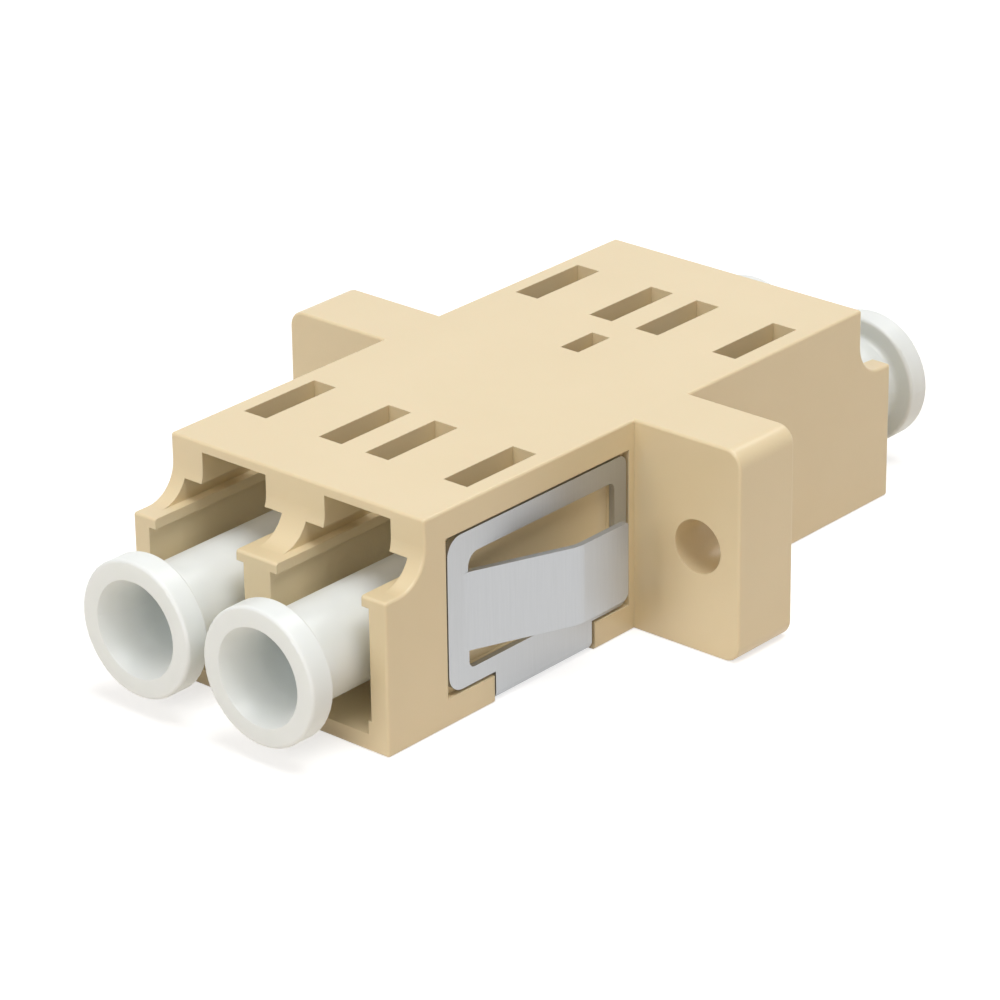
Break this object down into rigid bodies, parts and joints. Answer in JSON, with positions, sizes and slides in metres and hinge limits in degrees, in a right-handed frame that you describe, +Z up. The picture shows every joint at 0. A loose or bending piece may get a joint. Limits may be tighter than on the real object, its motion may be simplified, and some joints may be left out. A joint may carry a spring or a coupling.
{
  "type": "lc fibre adapter",
  "caption": "Moulded coupler for fibre plugs: side-by-side ports through a box body, a screw flange at mid length, a sprung steel panel clip and push-on dust caps.",
  "frame": {"origin": "on the underside, midway between the two ports, in the plane where the two ferrules of a joined pair meet", "axes": "+Y along the ports towards the rear end, +X across the two ports, +Z up from the underside; the panel clip is in the half towards -Y"},
  "size_m": [0.023, 0.0374, 0.0088],
  "materials": {
    "housing_plastic": "fine satin, moulded",
    "holder_plastic": "satin, moulded",
    "sleeve_ceramic": "ground and polished",
    "clip_steel": "rolled sheet, satin",
    "cap_plastic": "smooth, slightly waxy"
  },
  "bodies": {
    "adapter": {"housing": "housing_plastic", "front_sleeve_holder": "holder_plastic", "rear_sleeve_holder": "holder_plastic", "left_split_sleeve": "sleeve_ceramic", "right_split_sleeve": "sleeve_ceramic", "panel_clip": "clip_steel"},
    "front_left_cap": {"front_left_dust_cap": "cap_plastic"},
    "front_right_cap": {"front_right_dust_cap": "cap_plastic"},
    "rear_left_cap": {"rear_left_dust_cap": "cap_plastic"},
    "rear_right_cap": {"rear_right_dust_cap": "cap_plastic"}
  },
  "joints": [
    {"name": "front_left_cap_pull", "type": "slide", "parent": "adapter", "child": "front_left_cap", "axis": [0, -1, 0], "range_m": [0, 0.02]},
    {"name": "front_right_cap_pull", "type": "slide", "parent": "adapter", "child": "front_right_cap", "axis": [0, -1, 0], "range_m": [0, 0.02]},
    {"name": "rear_left_cap_pull", "type": "slide", "parent": "adapter", "child": "rear_left_cap", "axis": [0, 1, 0], "range_m": [0, 0.02]},
    {"name": "rear_right_cap_pull", "type": "slide", "parent": "adapter", "child": "rear_right_cap", "axis": [0, 1, 0], "range_m": [0, 0.02]}
  ]
}
